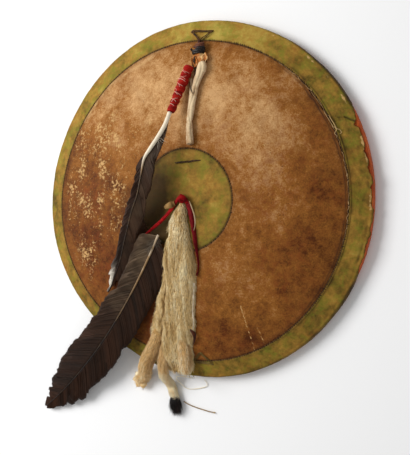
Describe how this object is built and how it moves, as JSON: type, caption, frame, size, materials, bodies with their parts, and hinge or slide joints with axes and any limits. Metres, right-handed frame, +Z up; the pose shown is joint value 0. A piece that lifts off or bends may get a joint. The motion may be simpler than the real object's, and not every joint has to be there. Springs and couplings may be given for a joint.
{
  "type": "hide shield",
  "caption": "Domed round hide shield lying on its rim, with a green edge band and centre, feathers, a weasel pelt and thongs on its face.",
  "frame": {"origin": "centre of the footprint on the floor, with the shield lying face up on its rim", "axes": "+Z up out of the face, +Y towards the thong knot at the shield's top, +X to the right when it is looked at from the front with the knot up"},
  "size_m": [0.4816, 0.5315, 0.0932],
  "materials": {
    "rawhide": "matte",
    "field_hide": "matte, worn",
    "green_hide": "painted, worn",
    "dark_thong": "hard, dark",
    "buckskin": "matte",
    "raw_scrap": "semi-gloss",
    "fur": "short fur",
    "feather": "soft sheen",
    "red_cloth": "satin",
    "thread": "twisted thread"
  },
  "bodies": {
    "root": {"rawhide_body": "rawhide", "field_hide": "field_hide", "rim_band": "green_hide", "centre_medallion": "green_hide", "band_seam_sinew": "dark_thong", "medallion_seam_sinew": "dark_thong", "top_thong_triangle": "dark_thong", "bottom_thong_triangle": "dark_thong", "medallion_stitch": "dark_thong", "top_knot": "dark_thong", "rawhide_tab": "raw_scrap", "hide_pendant": "buckskin", "red_thread_wrap": "red_cloth", "upper_feather": "feather", "lower_feather": "feather", "weasel_pelt": "fur", "ribbon_knot": "red_cloth", "ribbon_left_end": "red_cloth", "ribbon_right_end": "red_cloth", "loose_sinew": "thread", "tail_cord": "thread"}
  },
  "joints": []
}
